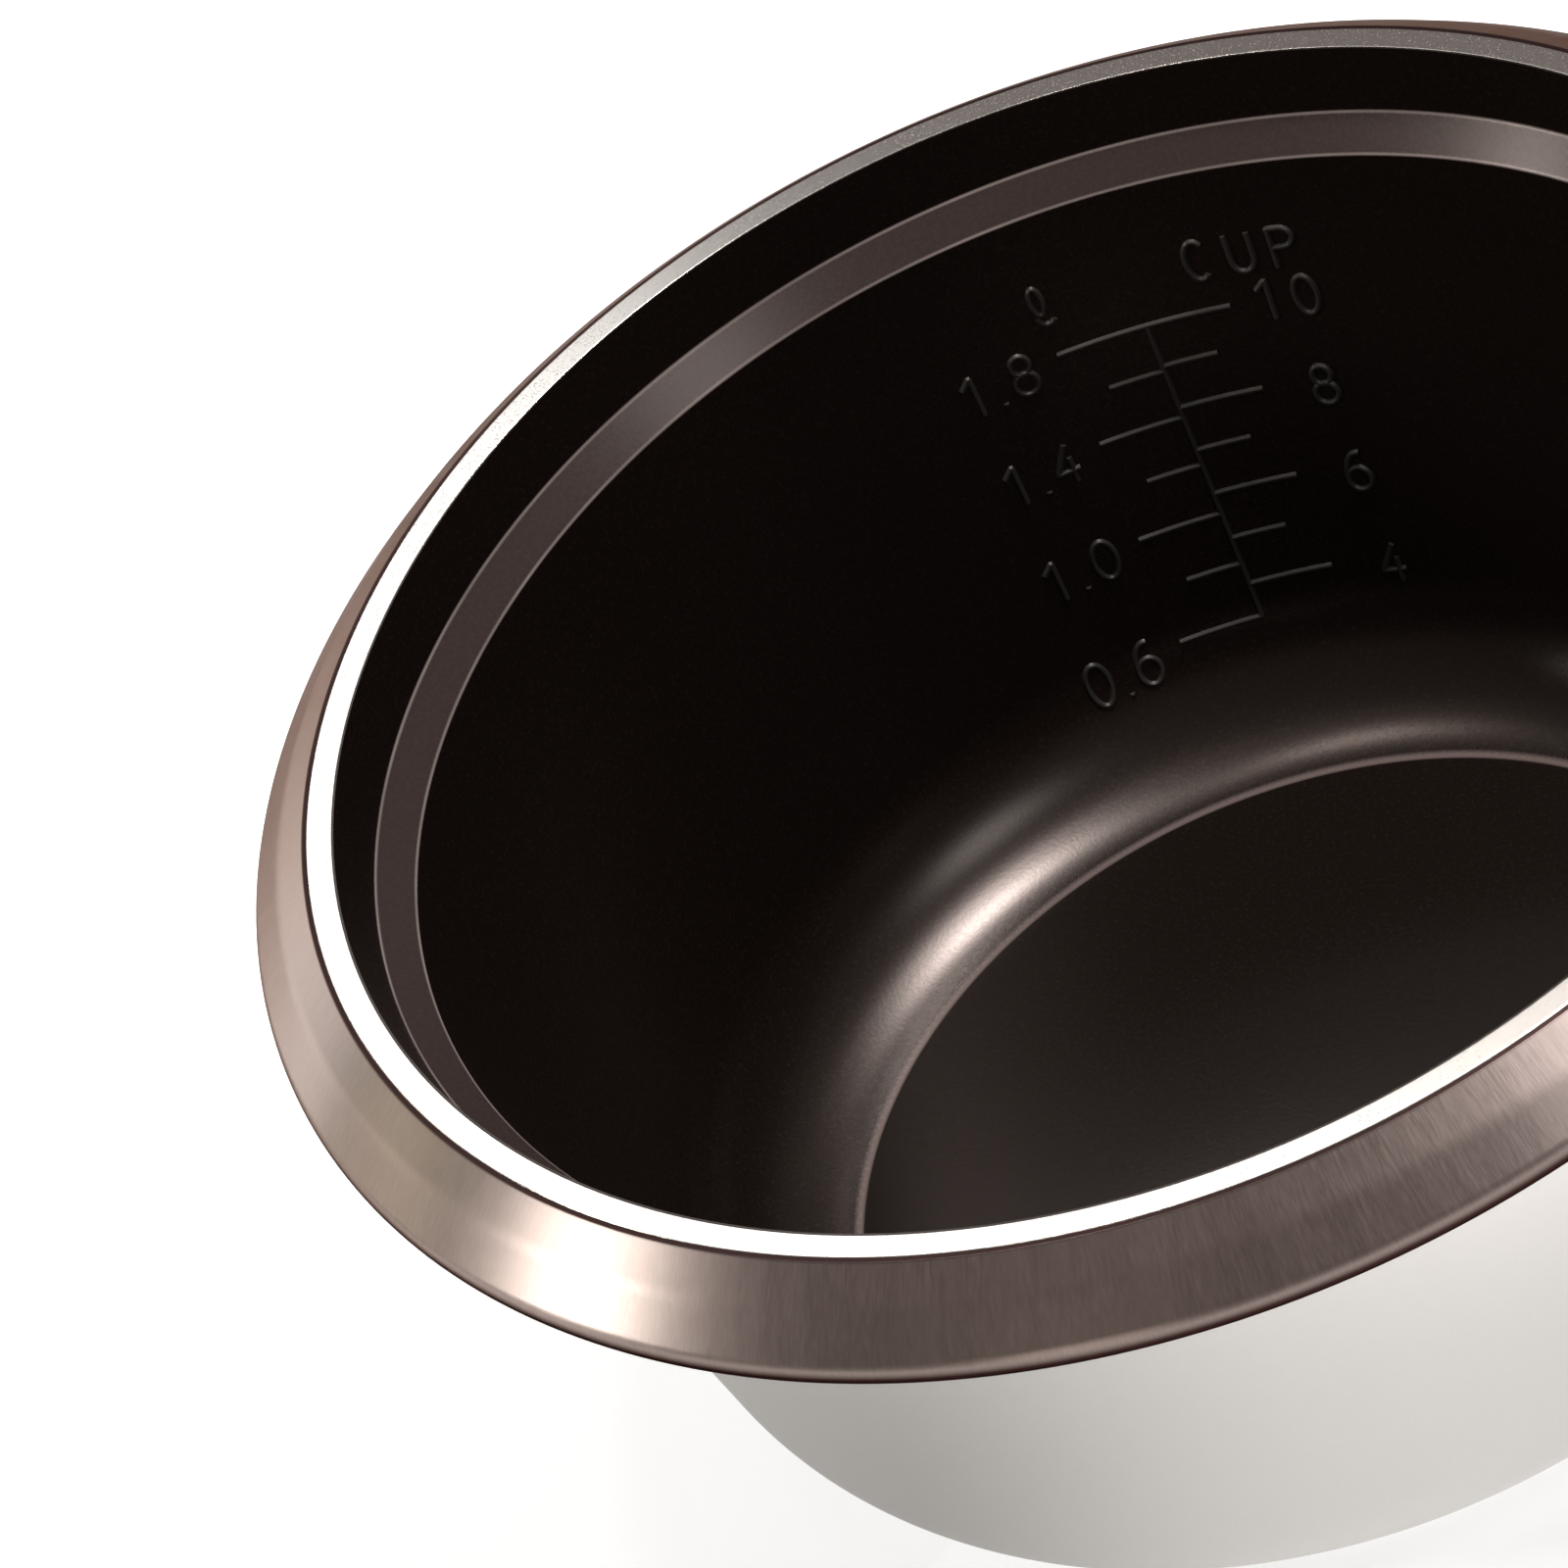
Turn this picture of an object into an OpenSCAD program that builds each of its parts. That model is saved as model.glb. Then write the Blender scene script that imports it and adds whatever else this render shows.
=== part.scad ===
// Removable cooking pot of a rice cooker: a drawn aluminium body with a steel skin outside,
// a dark non-stick lining inside, a bronze skirt band round its rim, and raised level marks.
// The origin is the middle of the base. +Z points up, and the level marks are on the +Y wall.

/* [Pot] */
// Height from the base to the rim
pot_h = 117; // [105:1:135]
// Inner radius of the mouth at the rim
mouth_r = 120; // [110:1:135]
// Lean of the cooking wall from upright, in degrees
wall_lean = 9.9; // [6:0.1:14]

/* [Collar and seat] */
// Height of the collar above the lid seat
collar_h = 11.3; // [8:0.1:16]
// How far the collar closes in from the mouth to the seat
collar_taper = 2.2; // [0.5:0.1:4]
// Width of the sloping lid seat
seat_w = 4.9; // [3:0.1:8]
// Height of the sloping lid seat
seat_h = 4.7; // [3:0.1:8]
// Rounding of both edges of the lid seat
seat_round = 0.9; // [0.5:0.1:1.5]

/* [Floor] */
// Thickness of the floor, through all its layers
floor_t = 2; // [1.8:0.1:4]
// Width of the sloping ring, from the crease of the flat floor to its meeting with the wall
floor_ring_w = 19.5; // [17.5:0.5:24]
// Slope of the ring round the flat floor, in degrees
floor_ring_slope = 12; // [8:0.5:16]
// Radius of the corner between the floor and the wall
floor_corner_r = 25; // [20:0.5:28]
// How much larger the base corner's radius is than the floor corner's radius and the wall together
corner_ease = 2.4; // [0.4:0.1:2.9]

/* [Layers] */
// Thickness of the wall, through all its layers
wall_t = 2.6; // [2.2:0.1:4]
// Thickness of the steel skin
skin_t = 0.6; // [0.4:0.1:0.9]
// Thickness of the non-stick lining
lining_t = 0.3; // [0.2:0.05:0.5]

/* [Rim and band] */
// Width of the bare machined land on top of the rim
land_w = 4.4; // [3:0.1:7]
// Thickness of the rim flange
flange_t = 2.2; // [1.5:0.1:3]
// How far the skirt band reaches out past the land
band_reach = 12; // [9:0.1:16]
// Height of the skirt band
band_h = 14.4; // [12:0.1:18]
// Thickness of the sheet of the skirt band
band_t = 1.2; // [0.8:0.1:1.6]
// How much wider the top edge of the band is than the land
band_edge_w = 0.8; // [0.6:0.1:1.5]
// How far the face of the band bulges from a straight cone
band_crown = 0.7; // [0.2:0.1:1.2]
// Rounding of the lower edge of the band
band_round = 3; // [2:0.1:4]
// Length of the hem turned in below the band
hem_w = 2; // [1:0.1:4]
// Drop of the top edge of the band below the land
edge_step = 0.15; // [0.05:0.05:0.4]
// Thickness of the lip of the band under the flange
lip_t = 1.2; // [0.8:0.1:2]

/* [Level marks] */
// Height of the full mark above the base
full_mark_z = 76; // [70:0.5:82]
// Height from the mark one cup below full up to the full mark
top_cup_step = 7.85; // [7:0.05:8]
// Height of the marks above the wall
relief = 0.5; // [0.3:0.05:0.7]
// Width of the strokes
stroke = 1; // [0.6:0.05:1.1]
// Length of a numbered mark
long_mark = 14; // [11:0.5:15]
// Length of a mark without a number
short_mark = 9.2; // [6:0.1:10]
// Length of the litre side of the full mark
full_mark_left = 15; // [12:0.5:17]
// Length of the cup side of the full mark
full_mark_right = 14; // [11:0.5:15]
// Height of a numeral
numeral_h = 8; // [6:0.1:8.5]
// Width of a numeral
numeral_w = 4.8; // [4:0.1:5.2]
// Gap between a mark and its number
number_gap = 3.8; // [2:0.1:5]
// Drop of the middle of a number below its mark
number_drop = 1; // [0:0.1:2]
// Gap between the digits of a litre number, which holds its point
point_gap = 3.8; // [3:0.1:4.5]
// Gap between the digits of the full cup number
digit_gap = 1.6; // [0.6:0.1:2]
// Gap between the letters of the cup word
letter_gap = 2.4; // [1:0.1:3]
// Distance of the column of cup numbers from the spine
cup_column = 24; // [21:0.5:26]
// Distance of the first letter from the spine
word_place = 11.5; // [9:0.1:13]
// Rise of the middle of the signs above the full mark
sign_rise = 9.2; // [8:0.1:10]

/* [Hidden] */

$fn = 180;
// Step of the points along a rounded corner, in degrees
arc_step = 5;
// Step of the points along an oval, in degrees
oval_step = 20;
// How far a profile runs past its cut
past = 3;

// Cups and litres that the scale numbers
full_cups = 10;
cups_per_litre = full_cups / 1.8;
cup_values = [4, 6, 8];
cup_short_values = [5, 7, 9];
litre_values = [0.6, 1.0, 1.4];
litre_short_values = [0.8, 1.2, 1.6];

seat_top_z = pot_h - collar_h;
seat_top_r = mouth_r - collar_taper;
wall_top_z = seat_top_z - seat_h;
wall_top_r = seat_top_r - seat_w;
base_corner_r = floor_corner_r + wall_t + corner_ease;
land_r = mouth_r + land_w;
band_r = land_r + band_reach;
flange_z = pot_h - flange_t;
band_z = pot_h - band_h;
lean = tan(wall_lean);

function unit(v) = v / norm(v);
function reversed(list) = [for (i = [len(list) - 1:-1:0]) list[i]];

// Radius of the cooking wall at a height, as a plain cone
function wall_r(z) = wall_top_r - lean * (wall_top_z - z);

// Points of the arc of radius r that rounds the corner at b between a and c
function corner(a, b, c, r) =
    let (u = unit(a - b), v = unit(c - b), half = acos(u * v) / 2)
    let (centre = b + unit(u + v) * r / sin(half))
    let (first = b + u * r / tan(half) - centre, last = b + v * r / tan(half) - centre)
    let (start = atan2(first.y, first.x), turn = atan2(last.y, last.x) - start)
    let (sweep = (turn + 540) % 360 - 180, steps = ceil(abs(sweep) / arc_step))
    [for (i = [0:steps]) centre + r * [cos(start + sweep * i / steps), sin(start + sweep * i / steps)]];

// A line with its inner corners rounded by their radii
function rounded(line, radii) = [
    for (i = [0:len(line) - 1])
        each radii[i] > 0 ? corner(line[i - 1], line[i], line[i + 1], radii[i]) : [line[i]]];

// The normal to the right of the way from a to b
function right_of(a, b) = unit([b.y - a.y, a.x - b.x]);

// A line moved to its right by d, with its corners kept sharp
function shifted(line, d) = [
    for (i = [0:len(line) - 1])
        let (before = right_of(line[max(i - 1, 0)], line[max(i, 1)]))
        let (after = right_of(line[min(i, len(line) - 2)], line[min(i + 1, len(line) - 1)]))
        line[i] + d * (before + after) / (1 + before * after)];

// Radii of the corners of a line after a move to its right by d
function shifted_radii(line, radii, d) = [
    for (i = [0:len(line) - 1])
        radii[i] == 0 ? 0 : max(0, radii[i] + d * sign(cross(line[i] - line[i - 1], line[i + 1] - line[i])))];

// Sharp corners of the cooking face, from the middle of the floor to just past the mouth
corner_z = floor_t + tan(floor_ring_slope) * floor_ring_w;
floor_r = wall_r(corner_z) - floor_ring_w;
face = [
    [0, floor_t],
    [floor_r, floor_t],
    [wall_r(corner_z), corner_z],
    [wall_top_r, wall_top_z],
    [seat_top_r, seat_top_z],
    [mouth_r + past * collar_taper / collar_h, pot_h + past]];
face_radii = [0, 0, floor_corner_r, seat_round, seat_round, 0];

// The cooking face moved outwards by d
function face_line(d) = rounded(shifted(face, d), shifted_radii(face, face_radii, d));

// Sharp corners of the outside of the pot, with the floor closed by the flat base
moved = shifted(face, wall_t);
outside = [
    [0, 0],
    [moved[3].x - lean * moved[3].y, 0],
    moved[3],
    moved[4],
    moved[5]];
outside_radii = [0, base_corner_r, 0, seat_round + wall_t, 0];

// The outside moved inwards by d
function outside_line(d) = rounded(shifted(outside, -d), shifted_radii(outside, outside_radii, -d));

// Everything inside a line, up to its last point
module inside_of(line) {
    polygon(concat(line, [[0, line[len(line) - 1].y]]));
}

module below(z) {
    intersection() {
        children();
        translate([0, -past])
            square([2 * band_r, z + past]);
    }
}

// Radius of a straight line between two corners at a height
function x_between(a, b, z) = a.x + (b.x - a.x) * (z - a.y) / (b.y - a.y);

// Face of the band from its top edge, bulged by its crown, round its lower edge, to the end of its hem
band_top = [land_r + band_edge_w, pot_h - edge_step];
foot_centre = [band_r - band_round, band_z + band_round];
foot_way = foot_centre - band_top;
flare = atan2(foot_way.y, foot_way.x) + asin(band_round / norm(foot_way));
foot_x = band_top.x + (band_z - band_top.y) / tan(flare);
band_foot = [foot_x, band_z];
band_middle = band_top + unit(band_foot - band_top) * norm(foot_way) / 2
    - band_crown * right_of(band_top, band_foot);
band_line = [band_top, band_middle, band_foot, [foot_centre.x - hem_w, band_z]];
band_radii = [0, band_h, band_round, 0];

module band_section() {
    back = shifted(band_line, band_t);
    back_radii = shifted_radii(band_line, band_radii, band_t);
    back_curve = rounded(back, back_radii);
    lip_z = flange_z - lip_t;
    polygon(concat(
        [[land_r, band_top.y]],
        rounded(band_line, band_radii),
        [for (i = [len(back_curve) - 1:-1:1]) back_curve[i]],
        [[x_between(back[0], back[1], lip_z), lip_z],
         [x_between(moved[4], moved[5], lip_z), lip_z],
         [x_between(moved[4], moved[5], flange_z), flange_z],
         [land_r, flange_z]]));
}

module core_shell() {
    color("silver")
        rotate_extrude()
            difference() {
                union() {
                    below(flange_z)
                        inside_of(outside_line(skin_t));
                    translate([0, flange_z])
                        square([land_r, flange_t]);
                }
                inside_of(face_line(lining_t));
            }
}

module steel_skin() {
    color("gainsboro")
        rotate_extrude()
            below(flange_z)
                difference() {
                    inside_of(outside_line(0));
                    inside_of(outside_line(skin_t));
                }
}

module nonstick_lining() {
    color([0.12, 0.1, 0.09])
        rotate_extrude()
            below(pot_h)
                difference() {
                    inside_of(face_line(lining_t));
                    inside_of(face_line(0));
                }
}

module skirt_band() {
    color([0.5, 0.43, 0.4])
        rotate_extrude()
            band_section();
}

// Height of the level of a number of cups, where each cup takes the same volume of the cone
function level_z(cups) =
    let (full_cube = pow(wall_r(full_mark_z), 3))
    let (cup_cube = full_cube - pow(wall_r(full_mark_z - top_cup_step), 3))
    (pow(full_cube - (full_cups - cups) * cup_cube, 1 / 3) - wall_r(0)) / lean;

// Angle of a length along the wall at a height
function wall_angle(length, z) = length / wall_r(z) * 180 / PI;

// The thin layer on the cooking face that every mark is cut from, between two heights
module relief_layer(low, high) {
    intersection() {
        difference() {
            inside_of(face_line(0));
            inside_of(face_line(-relief));
        }
        translate([0, low])
            square([mouth_r, high - low]);
    }
}

// A level mark from one place along the wall to another; places count from the spine, +X side up
module mark(from, to, z) {
    rotate([0, 0, 90 - wall_angle(to, z)])
        rotate_extrude(angle = wall_angle(to - from, z))
            relief_layer(z - stroke / 2, z + stroke / 2);
}

module mark_colour() {
    color([0.2, 0.17, 0.16])
        children();
}

module scale_spine() {
    lowest = level_z(min(litre_values) * cups_per_litre);
    mark_colour()
        rotate([0, 0, 90 - wall_angle(stroke / 2, full_mark_z)])
            rotate_extrude(angle = wall_angle(stroke, full_mark_z))
                relief_layer(lowest - stroke / 2, full_mark_z - stroke / 2);
}

module full_mark() {
    mark_colour()
        mark(-full_mark_left, full_mark_right, full_mark_z);
}

module litre_marks() {
    mark_colour() {
        for (litres = litre_values)
            mark(-long_mark, -stroke / 2, level_z(litres * cups_per_litre));
        for (litres = litre_short_values)
            mark(-short_mark, -stroke / 2, level_z(litres * cups_per_litre));
    }
}

module cup_marks() {
    mark_colour() {
        for (cups = cup_values)
            mark(stroke / 2, long_mark, level_z(cups));
        for (cups = cup_short_values)
            mark(stroke / 2, short_mark, level_z(cups));
    }
}

// Points of an oval arc; angles in degrees, counted from the right
function oval(centre, half_w, half_h, from, to) =
    let (steps = ceil(abs(to - from) / oval_step))
    [for (i = [0:steps])
        let (a = from + (to - from) * i / steps)
        centre + [half_w * cos(a), half_h * sin(a)]];

module line_stroke(line) {
    polygon(concat(shifted(line, stroke / 2), reversed(shifted(line, -stroke / 2))));
}

module oval_ring(centre, half_w, half_h) {
    grow = stroke / 2;
    difference() {
        polygon([for (p = oval(centre, half_w, half_h, oval_step, 360)) p + grow * unit(p - centre)]);
        polygon([for (p = oval(centre, half_w, half_h, oval_step, 360)) p - grow * unit(p - centre)]);
    }
}

// Angles at which the open strokes of the signs start and end, counted from the right
nearly_up = 80;
nearly_left = 175;
left_turn = 190;
right_turn = 320;
letter_opening = 50;

// Half the width and height of the middle line of a sign
half_w = (numeral_w - stroke) / 2;
half_h = (numeral_h - stroke) / 2;

module zero() {
    oval_ring([0, 0], half_w, half_h);
}

module one() {
    line_stroke([
        [-half_w * 0.7, half_h * 0.55],
        [half_w * 0.2, half_h],
        [half_w * 0.2, -half_h - stroke / 2]]);
}

module four() {
    line_stroke([[half_w * 0.4, half_h], [-half_w, -half_h * 0.4], [half_w + stroke / 2, -half_h * 0.4]]);
    line_stroke([[half_w * 0.4, half_h * 0.3], [half_w * 0.4, -half_h - stroke / 2]]);
}

module six() {
    low = -half_h * 0.4;
    oval_ring([0, low], half_w, half_h * 0.6);
    line_stroke(oval([half_w * 0.3, low], half_w * 1.3, half_h * 1.4, nearly_left, nearly_up));
}

module eight() {
    oval_ring([0, -half_h * 0.45], half_w, half_h * 0.55);
    oval_ring([0, half_h * 0.52], half_w * 0.8, half_h * 0.48);
}

module point() {
    translate([-stroke / 2, -half_h - stroke / 2])
        square(stroke);
}

module letter_c() {
    line_stroke(oval([0, 0], half_w, half_h, letter_opening, 360 - letter_opening));
}

module letter_u() {
    bend = oval([0, -half_h * 0.35], half_w, half_h * 0.65, 180, 360);
    line_stroke(concat([[-half_w, half_h]], bend, [[half_w, half_h]]));
}

module letter_p() {
    line_stroke([[-half_w, -half_h], [-half_w, half_h]]);
    line_stroke(concat([[-half_w, half_h]], oval([0, half_h * 0.5], half_w, half_h * 0.5, 90, -90),
                       [[-half_w, 0]]));
}

module litre_loop() {
    oval_ring([0, half_h * 0.3], half_w * 0.5, half_h * 0.7);
    line_stroke(oval([half_w * 0.35, -half_h * 0.4], half_w * 0.8, half_h * 0.55, left_turn, right_turn));
}

// A sign on the cooking wall, with its middle at a place along the wall and a height
module on_wall(place, z) {
    rotate([0, 0, -wall_angle(place, z)])
        intersection() {
            rotate([0, 0, 90 - wall_angle(numeral_w, z)])
                rotate_extrude(angle = wall_angle(2 * numeral_w, z))
                    relief_layer(z - numeral_h, z + numeral_h);
            translate([0, mouth_r, z])
                rotate([90, 0, 0])
                    linear_extrude(mouth_r - floor_r)
                        children();
        }
}

// A litre number of two digits with its point between them, left of a mark of a length
module litre_number(length, z) {
    last_place = -length - number_gap - numeral_w / 2;
    pitch = numeral_w + point_gap;
    on_wall(last_place - pitch, z - number_drop)
        children(0);
    on_wall(last_place - pitch / 2, z - number_drop)
        point();
    on_wall(last_place, z - number_drop)
        children(1);
}

module litre_numbers() {
    mark_colour() {
        litre_number(full_mark_left, full_mark_z) {
            one();
            eight();
        }
        litre_number(long_mark, level_z(litre_values[2] * cups_per_litre)) {
            one();
            four();
        }
        litre_number(long_mark, level_z(litre_values[1] * cups_per_litre)) {
            one();
            zero();
        }
        litre_number(long_mark, level_z(litre_values[0] * cups_per_litre)) {
            zero();
            six();
        }
    }
}

module cup_numbers() {
    one_place = full_mark_right + number_gap + numeral_w / 2;
    mark_colour() {
        on_wall(one_place, full_mark_z)
            one();
        on_wall(one_place + numeral_w + digit_gap, full_mark_z)
            zero();
        on_wall(cup_column, level_z(cup_values[2]) - number_drop)
            eight();
        on_wall(cup_column, level_z(cup_values[1]) - number_drop)
            six();
        on_wall(cup_column, level_z(cup_values[0]) - number_drop)
            four();
    }
}

module litre_sign() {
    mark_colour()
        on_wall(-full_mark_left, full_mark_z + sign_rise)
            litre_loop();
}

module cup_word() {
    letter_pitch = numeral_w + letter_gap;
    mark_colour() {
        on_wall(word_place, full_mark_z + sign_rise)
            letter_c();
        on_wall(word_place + letter_pitch, full_mark_z + sign_rise)
            letter_u();
        on_wall(word_place + 2 * letter_pitch, full_mark_z + sign_rise)
            letter_p();
    }
}

core_shell();
steel_skin();
nonstick_lining();
skirt_band();
scale_spine();
full_mark();
litre_marks();
cup_marks();
litre_numbers();
cup_numbers();
litre_sign();
cup_word();
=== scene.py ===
"""Looks of a rice cooker's removable cooking pot.

It has a lining, a bare rim land, a skirt band, an outer skin and raised level marks.
"""

import math

import bmesh
import bpy
from bpy.props import FloatProperty, FloatVectorProperty, IntProperty, PointerProperty
from mathutils import Matrix, Vector


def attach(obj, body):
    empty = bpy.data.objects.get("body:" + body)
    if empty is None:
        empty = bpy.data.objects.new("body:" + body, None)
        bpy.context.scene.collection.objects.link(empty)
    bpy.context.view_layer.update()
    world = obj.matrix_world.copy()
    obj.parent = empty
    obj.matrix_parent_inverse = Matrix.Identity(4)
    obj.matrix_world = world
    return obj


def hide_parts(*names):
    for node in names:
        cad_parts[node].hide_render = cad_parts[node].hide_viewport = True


bl_info = {
    "name": "Rice Cooker Pot",
    "version": (1, 0, 0),
    "blender": (4, 5, 0),
    "location": "3D View > Sidebar > Pot",
    "description": "Builds a lined cooking pot with its rim, skirt band and level marks",
    "category": "Object",
}

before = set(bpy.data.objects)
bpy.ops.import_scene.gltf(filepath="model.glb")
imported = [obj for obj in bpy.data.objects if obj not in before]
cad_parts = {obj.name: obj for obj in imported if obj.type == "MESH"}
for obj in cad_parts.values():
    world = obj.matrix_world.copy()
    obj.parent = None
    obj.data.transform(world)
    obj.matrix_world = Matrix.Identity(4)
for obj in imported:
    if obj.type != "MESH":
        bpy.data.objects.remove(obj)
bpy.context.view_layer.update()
MM = 0.001


# ---------------------------------------------------------------- sizes and finishes

def length(name, description, millimetres):
    """A size that is shown as a distance and given in millimetres."""
    return FloatProperty(name=name, description=description, default=millimetres * MM,
                         unit="LENGTH", subtype="DISTANCE", precision=5)


def colour(name, description, default):
    """A linear colour."""
    return FloatVectorProperty(name=name, description=description, default=default,
                               size=4, min=0, max=1, subtype="COLOR")


def angle(name, description, degrees):
    """An angle given in degrees."""
    return FloatProperty(name=name, description=description, default=math.radians(degrees),
                         unit="ROTATION", subtype="ANGLE")


class PotSizes(bpy.types.PropertyGroup):
    """Sizes of the pot, its rim and its band."""
    height: length("Height", "Height from the base to the rim", 117)
    mouth_radius: length("Mouth radius", "Inner radius of the mouth at the rim", 120)
    wall_lean: angle("Wall lean", "Lean of the cooking wall from upright", 9.9)
    collar_height: length("Collar height", "Height of the collar above the lid seat", 11.3)
    collar_taper: length("Collar taper", "How far the collar closes in down to the seat", 2.2)
    seat_width: length("Seat width", "Width of the sloping lid seat", 4.9)
    seat_height: length("Seat height", "Height of the sloping lid seat", 4.7)
    seat_round: length("Seat rounding", "Rounding of both edges of the lid seat", 0.9)
    floor_thickness: length("Floor thickness", "Thickness of the floor", 2)
    ring_width: length("Ring width", "Width of the sloping ring round the flat floor", 19.5)
    ring_slope: angle("Ring slope", "Slope of the ring round the flat floor", 12)
    crease_slope: angle("Crease slope", "Slope of the ring where it leaves the flat floor", 4)
    floor_corner: length("Floor corner", "Radius of the corner between floor and wall", 25)
    base_corner: length("Base corner", "Radius of the corner between base and outside", 30)
    wall_thickness: length("Wall thickness", "Thickness of the wall", 2.6)
    skin_thickness: length("Skin thickness", "Thickness of the steel skin", 0.6)
    lining_thickness: length("Lining thickness", "Thickness of the non-stick lining", 0.3)
    land_width: length("Land width", "Width of the bare land on top of the rim", 4.4)
    land_edge: length("Land edge", "Rounding of the edges of the land", 0.15)
    flange_thickness: length("Flange thickness", "Thickness of the rim flange", 2.2)
    band_reach: length("Band reach", "How far the band reaches out past the land", 12)
    band_height: length("Band height", "Height of the skirt band", 14.4)
    band_thickness: length("Band thickness", "Thickness of the sheet of the band", 1.2)
    band_edge: length("Band edge", "Width of the flat top edge of the band", 0.8)
    band_crown: length("Band crown", "Bulge of the face of the band", 0.7)
    band_round: length("Band rounding", "Rounding of the lower edge of the band", 3)
    hem_width: length("Hem width", "Length of the hem turned in below the band", 2)
    edge_step: length("Edge step", "Drop of the top edge of the band below the land", 0.15)
    lip_thickness: length("Lip thickness", "Thickness of the lip under the flange", 1.2)
    segments: IntProperty(name="Segments", description="Steps round the pot", default=288,
                          min=32, max=512)


class ScaleSizes(bpy.types.PropertyGroup):
    """Sizes of the raised level marks on the cooking wall."""
    full_height: length("Full mark height", "Height of the full mark above the base", 76)
    top_step: length("Top step", "Height from the mark one cup below full to the full mark", 7.85)
    relief: length("Relief", "Height of the marks above the wall", 0.5)
    draft: angle("Draft", "Lean of the flanks of a mark from square to the wall", 28)
    stroke: length("Stroke", "Width of the strokes", 1)
    long_mark: length("Long mark", "Length of a numbered mark", 14)
    short_mark: length("Short mark", "Length of a mark without a number", 9.2)
    full_left: length("Full mark, litre side", "Length of the litre side of the full mark", 15)
    full_right: length("Full mark, cup side", "Length of the cup side of the full mark", 14)
    numeral_height: length("Numeral height", "Height of a numeral", 8)
    numeral_width: length("Numeral width", "Width of a numeral", 4.8)
    number_gap: length("Number gap", "Gap between a mark and its number", 3.8)
    number_drop: length("Number drop", "Drop of the middle of a number below its mark", 1)
    point_gap: length("Point gap", "Gap between the digits of a litre number", 3.8)
    digit_gap: length("Digit gap", "Gap between the digits of the full cup number", 1.6)
    letter_gap: length("Letter gap", "Gap between the letters of the cup word", 2.4)
    cup_column: length("Cup column", "Distance of the column of cup numbers from the spine", 24)
    word_place: length("Word place", "Distance of the first letter from the spine", 11.5)
    sign_rise: length("Sign rise", "Rise of the signs above the full mark", 9.2)


class PotFinishes(bpy.types.PropertyGroup):
    """Colours of the pot's finishes."""
    lining: colour("Lining", "Dark non-stick lining", (0.0090, 0.0059, 0.0047, 1))
    lining_fleck: colour("Lining fleck", "Paler grain of the lining", (0.018, 0.0125, 0.011, 1))
    # Painted highlight: the relief colours are paler than the lining so that the raised marks read
    # bright.
    relief: colour("Relief", "Lining rubbed paler on the raised marks", (0.105, 0.070, 0.060, 1))
    relief_fleck: colour("Relief fleck", "Grain of the raised marks", (0.170, 0.115, 0.100, 1))
    seat: colour("Seat", "Thinner lining on the lid seat", (0.052, 0.037, 0.0345, 1))
    # Painted highlight: a pale line on both edges of the lid seat that stands in for their glints.
    seat_edge: colour("Seat edge", "Rubbed edges of the lid seat", (0.48, 0.40, 0.38, 1))
    # Painted reflection: a pale line along the floor crease that stands in for the light it
    # reflects.
    crease: colour("Crease", "Thinner lining along the floor crease", (0.19, 0.145, 0.135, 1))
    land: colour("Land", "Bare machined aluminium", (0.80, 0.77, 0.73, 1))
    land_speck: colour("Land speck", "Tool marks on the land", (0.50, 0.46, 0.43, 1))
    skin: colour("Skin", "Satin steel skin", (0.76, 0.74, 0.715, 1))
    skin_cloud: colour("Skin cloud", "Duller patches of the steel skin", (0.66, 0.64, 0.62, 1))
    band: colour("Band", "Bronze skirt band", (0.325, 0.262, 0.242, 1))
    # Painted shade: the dark colour of the band's rolled lower edge and of its top edge next to the
    # land.
    band_edge: colour("Band edge", "Dark bronze of the rolled edge and the top edge",
                      (0.05, 0.03, 0.028, 1))
    band_streak: colour("Band streak", "Paler brushed streaks of the band", (0.46, 0.385, 0.352, 1))


# ---------------------------------------------------------------- node trees as expressions

class Wire:
    """A value in a node tree, which plain Python operators join to others."""

    def __init__(self, tree, socket):
        self.tree = tree
        self.socket = socket

    def math(self, operation, *values):
        node = self.tree.nodes.new("ShaderNodeMath")
        node.operation = operation
        for slot, value in zip(node.inputs, values):
            plug(self.tree, slot, value)
        return Wire(self.tree, node.outputs[0])

    def __add__(self, other): return self.math("ADD", self, other)
    def __radd__(self, other): return self.math("ADD", other, self)
    def __sub__(self, other): return self.math("SUBTRACT", self, other)
    def __rsub__(self, other): return self.math("SUBTRACT", other, self)
    def __mul__(self, other): return self.math("MULTIPLY", self, other)
    def __rmul__(self, other): return self.math("MULTIPLY", other, self)
    def __truediv__(self, other): return self.math("DIVIDE", self, other)
    def __pow__(self, other): return self.math("POWER", self, other)
    def __mod__(self, other): return self.math("FLOORED_MODULO", self, other)
    def __neg__(self): return self.math("MULTIPLY", self, -1)
    def __gt__(self, other): return self.math("GREATER_THAN", self, other)
    def __lt__(self, other): return self.math("LESS_THAN", self, other)

    def floor(self): return self.math("FLOOR", self)
    def sine(self): return self.math("SINE", self)
    def cosine(self): return self.math("COSINE", self)
    def root(self): return self.math("SQRT", self)
    def at_least(self, low): return self.math("MAXIMUM", self, low)
    def at_most(self, high): return self.math("MINIMUM", self, high)

    def rise(self, low, high):
        """A smooth climb from 0 at low to 1 at high."""
        return make(self.tree, "ShaderNodeMapRange", {"interpolation_type": "SMOOTHSTEP"},
                    {"Value": self, "From Min": low, "From Max": high})

    def within(self, start, full, fading, end):
        """1 between full and fading, with a smooth climb from start and a smooth fall to end."""
        return self.rise(start, full) * (1 - self.rise(fading, end))


def plug(tree, slot, value):
    """Joins a wire to a socket, or sets the socket's own value."""
    if isinstance(value, Wire):
        tree.links.new(value.socket, slot)
    else:
        slot.default_value = value


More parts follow.
